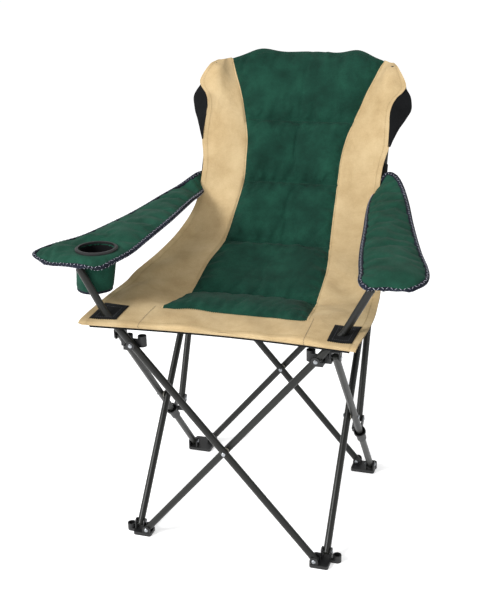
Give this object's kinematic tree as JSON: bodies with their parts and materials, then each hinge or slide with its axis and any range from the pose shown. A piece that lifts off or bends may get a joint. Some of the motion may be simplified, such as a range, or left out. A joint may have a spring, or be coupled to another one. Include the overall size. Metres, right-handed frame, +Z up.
{
  "type": "folding camp chair",
  "caption": "Folding camp chair: crossed steel tubes with moulded feet and brackets, a padded sling seat and back, two armrests and a cup holder.",
  "frame": {"origin": "on the floor under the middle of the open chair", "axes": "+Z up, -Y the way the sitter faces, +X to the right seen from the front"},
  "size_m": [0.8328, 0.8083, 1.012],
  "materials": {
    "frame": "satin powder coat",
    "mould": "moulded nylon",
    "rivet": "zinc-plated",
    "nylon": "matt",
    "green_fabric": "woven polyester",
    "tan_fabric": "woven polyester",
    "black_fabric": "woven polyester"
  },
  "bodies": {
    "front_left_foot": {"foot_front_left": "mould", "foot_rivets_front_left": "rivet"},
    "front_tube_rising_right": {"front_cross_tube_rising_right": "frame", "front_cross_rivet": "rivet", "front_cross_washer": "nylon", "arm_post_plug_right": "mould", "armrest_right": "green_fabric"},
    "front_tube_rising_left": {"front_cross_tube_rising_left": "frame", "arm_post_plug_left": "mould", "armrest_left": "green_fabric", "cup_ring": "mould", "cup_pocket": "green_fabric"},
    "front_right_foot": {"foot_front_right": "mould", "foot_rivets_front_right": "rivet"},
    "front_bracket_left": {"front_bracket_left": "mould", "front_bracket_rivets_left": "rivet"},
    "front_bracket_right": {"front_bracket_right": "mould", "front_bracket_rivets_right": "rivet"},
    "front_side_tube_left": {"front_side_tube_left": "frame", "side_cross_rivet_left": "rivet", "side_cross_washer_left": "nylon"},
    "front_side_tube_right": {"front_side_tube_right": "frame", "side_cross_rivet_right": "rivet", "side_cross_washer_right": "nylon"},
    "rear_side_tube_left": {"rear_side_tube_left": "frame", "post_socket_left": "mould", "post_socket_rivets_left": "rivet"},
    "rear_side_tube_right": {"rear_side_tube_right": "frame", "post_socket_right": "mould", "post_socket_rivets_right": "rivet"},
    "rear_left_foot": {"foot_rear_left": "mould", "foot_rivets_rear_left": "rivet"},
    "rear_right_foot": {"foot_rear_right": "mould", "foot_rivets_rear_right": "rivet"},
    "rear_bracket_left": {"rear_bracket_left": "mould", "rear_bracket_rivets_left": "rivet"},
    "rear_bracket_right": {"rear_bracket_right": "mould", "rear_bracket_rivets_right": "rivet"},
    "rear_tube_rising_right": {"rear_cross_tube_rising_right": "frame", "rear_cross_rivet": "rivet", "rear_cross_washer": "nylon"},
    "rear_tube_rising_left": {"rear_cross_tube_rising_left": "frame"},
    "back_post_left": {"back_post_left": "frame", "back_post_cap_left": "mould", "back_panel": "green_fabric"},
    "back_post_right": {"back_post_right": "frame", "back_post_cap_right": "mould"},
    "seat_front_half": {"seat_front": "tan_fabric", "seat_corner_patch_left": "black_fabric", "seat_corner_patch_right": "black_fabric"},
    "seat_rear_half": {"seat_rear": "green_fabric"}
  },
  "joints": [
    {"name": "fold", "type": "hinge", "parent": "front_left_foot", "child": "front_tube_rising_right", "pos_m": [-0.20044, -0.3385, 0.015], "axis": [0, -1, 0], "range_deg": [0, 33], "deforming": ["seat_front", "seat_rear", "back_panel", "armrest_left", "armrest_right", "seat_corner_patch_left", "seat_corner_patch_right", "cup_pocket"]},
    {"name": "front_crossing", "type": "hinge", "parent": "front_tube_rising_right", "child": "front_tube_rising_left", "pos_m": [0, -0.347, 0.24886], "axis": [0, 1, 0], "range_deg": [0, 66]},
    {"name": "front_right_foot_pivot", "type": "hinge", "parent": "front_tube_rising_left", "child": "front_right_foot", "pos_m": [0.20044, -0.3555, 0.015], "axis": [0, -1, 0], "range_deg": [0, 33]},
    {"name": "front_left_bracket_pivot", "type": "hinge", "parent": "front_tube_rising_left", "child": "front_bracket_left", "pos_m": [-0.20044, -0.3555, 0.48271], "axis": [0, -1, 0], "range_deg": [0, 33]},
    {"name": "front_right_bracket_pivot", "type": "hinge", "parent": "front_tube_rising_right", "child": "front_bracket_right", "pos_m": [0.20044, -0.3385, 0.48271], "axis": [0, 1, 0], "range_deg": [0, 33]},
    {"name": "front_side_foot_pivot_left", "type": "hinge", "parent": "front_left_foot", "child": "front_side_tube_left", "pos_m": [-0.22094, -0.329, 0.022], "axis": [1, 0, 0], "range_deg": [0, 33]},
    {"name": "side_crossing_left", "type": "hinge", "parent": "front_side_tube_left", "child": "rear_side_tube_left", "pos_m": [-0.22944, -0.12856, 0.25586], "axis": [-1, 0, 0], "range_deg": [0, 66]},
    {"name": "rear_side_foot_pivot_left", "type": "hinge", "parent": "rear_side_tube_left", "child": "rear_left_foot", "pos_m": [-0.23794, 0.07188, 0.022], "axis": [1, 0, 0], "range_deg": [0, 33]},
    {"name": "rear_bracket_pivot_left", "type": "hinge", "parent": "front_side_tube_left", "child": "rear_bracket_left", "pos_m": [-0.22094, 0.07188, 0.48971], "axis": [-1, 0, 0], "range_deg": [0, 33]},
    {"name": "back_post_pivot_left", "type": "hinge", "parent": "rear_side_tube_left", "child": "back_post_left", "pos_m": [-0.22694, -0.02661, 0.19837], "axis": [1, 0, 0], "range_deg": [0, 55.87]},
    {"name": "front_side_foot_pivot_right", "type": "hinge", "parent": "front_right_foot", "child": "front_side_tube_right", "pos_m": [0.22094, -0.329, 0.022], "axis": [1, 0, 0], "range_deg": [0, 33]},
    {"name": "side_crossing_right", "type": "hinge", "parent": "front_side_tube_right", "child": "rear_side_tube_right", "pos_m": [0.22944, -0.12856, 0.25586], "axis": [-1, 0, 0], "range_deg": [0, 66]},
    {"name": "rear_side_foot_pivot_right", "type": "hinge", "parent": "rear_side_tube_right", "child": "rear_right_foot", "pos_m": [0.23794, 0.07188, 0.022], "axis": [1, 0, 0], "range_deg": [0, 33]},
    {"name": "rear_bracket_pivot_right", "type": "hinge", "parent": "front_side_tube_right", "child": "rear_bracket_right", "pos_m": [0.22094, 0.07188, 0.48971], "axis": [-1, 0, 0], "range_deg": [0, 33]},
    {"name": "back_post_pivot_right", "type": "hinge", "parent": "rear_side_tube_right", "child": "back_post_right", "pos_m": [0.22694, -0.02661, 0.19837], "axis": [1, 0, 0], "range_deg": [0, 55.87]},
    {"name": "rear_left_foot_pivot", "type": "hinge", "parent": "rear_left_foot", "child": "rear_tube_rising_right", "pos_m": [-0.20044, 0.11238, 0.015], "axis": [0, -1, 0], "range_deg": [0, 33]},
    {"name": "rear_crossing", "type": "hinge", "parent": "rear_tube_rising_right", "child": "rear_tube_rising_left", "pos_m": [0, 0.10388, 0.24886], "axis": [0, 1, 0], "range_deg": [0, 66]},
    {"name": "seat_front_fold", "type": "hinge", "parent": "front_bracket_left", "child": "seat_front_half", "pos_m": [0, -0.362, 0.545], "axis": [-1, 0, 0], "range_deg": [0, 73.59]},
    {"name": "seat_rear_fold", "type": "hinge", "parent": "rear_bracket_left", "child": "seat_rear_half", "pos_m": [0, 0.053, 0.58], "axis": [1, 0, 0], "range_deg": [0, 60.39]}
  ],
  "couplings": [
    {"joint": "front_crossing", "follows": "fold", "ratio": 2},
    {"joint": "front_right_foot_pivot", "follows": "fold", "ratio": 1},
    {"joint": "front_left_bracket_pivot", "follows": "fold", "ratio": 1},
    {"joint": "front_right_bracket_pivot", "follows": "fold", "ratio": 1},
    {"joint": "front_side_foot_pivot_left", "follows": "fold", "ratio": 1},
    {"joint": "side_crossing_left", "follows": "fold", "ratio": 2},
    {"joint": "rear_side_foot_pivot_left", "follows": "fold", "ratio": 1},
    {"joint": "rear_bracket_pivot_left", "follows": "fold", "ratio": 1},
    {"joint": "back_post_pivot_left", "follows": "fold", "ratio": 1.693},
    {"joint": "front_side_foot_pivot_right", "follows": "fold", "ratio": 1},
    {"joint": "side_crossing_right", "follows": "fold", "ratio": 2},
    {"joint": "rear_side_foot_pivot_right", "follows": "fold", "ratio": 1},
    {"joint": "rear_bracket_pivot_right", "follows": "fold", "ratio": 1},
    {"joint": "back_post_pivot_right", "follows": "fold", "ratio": 1.693},
    {"joint": "rear_left_foot_pivot", "follows": "fold", "ratio": 1},
    {"joint": "rear_crossing", "follows": "fold", "ratio": 2},
    {"joint": "seat_front_fold", "follows": "fold", "ratio": 2.23},
    {"joint": "seat_rear_fold", "follows": "fold", "ratio": 1.83}
  ]
}
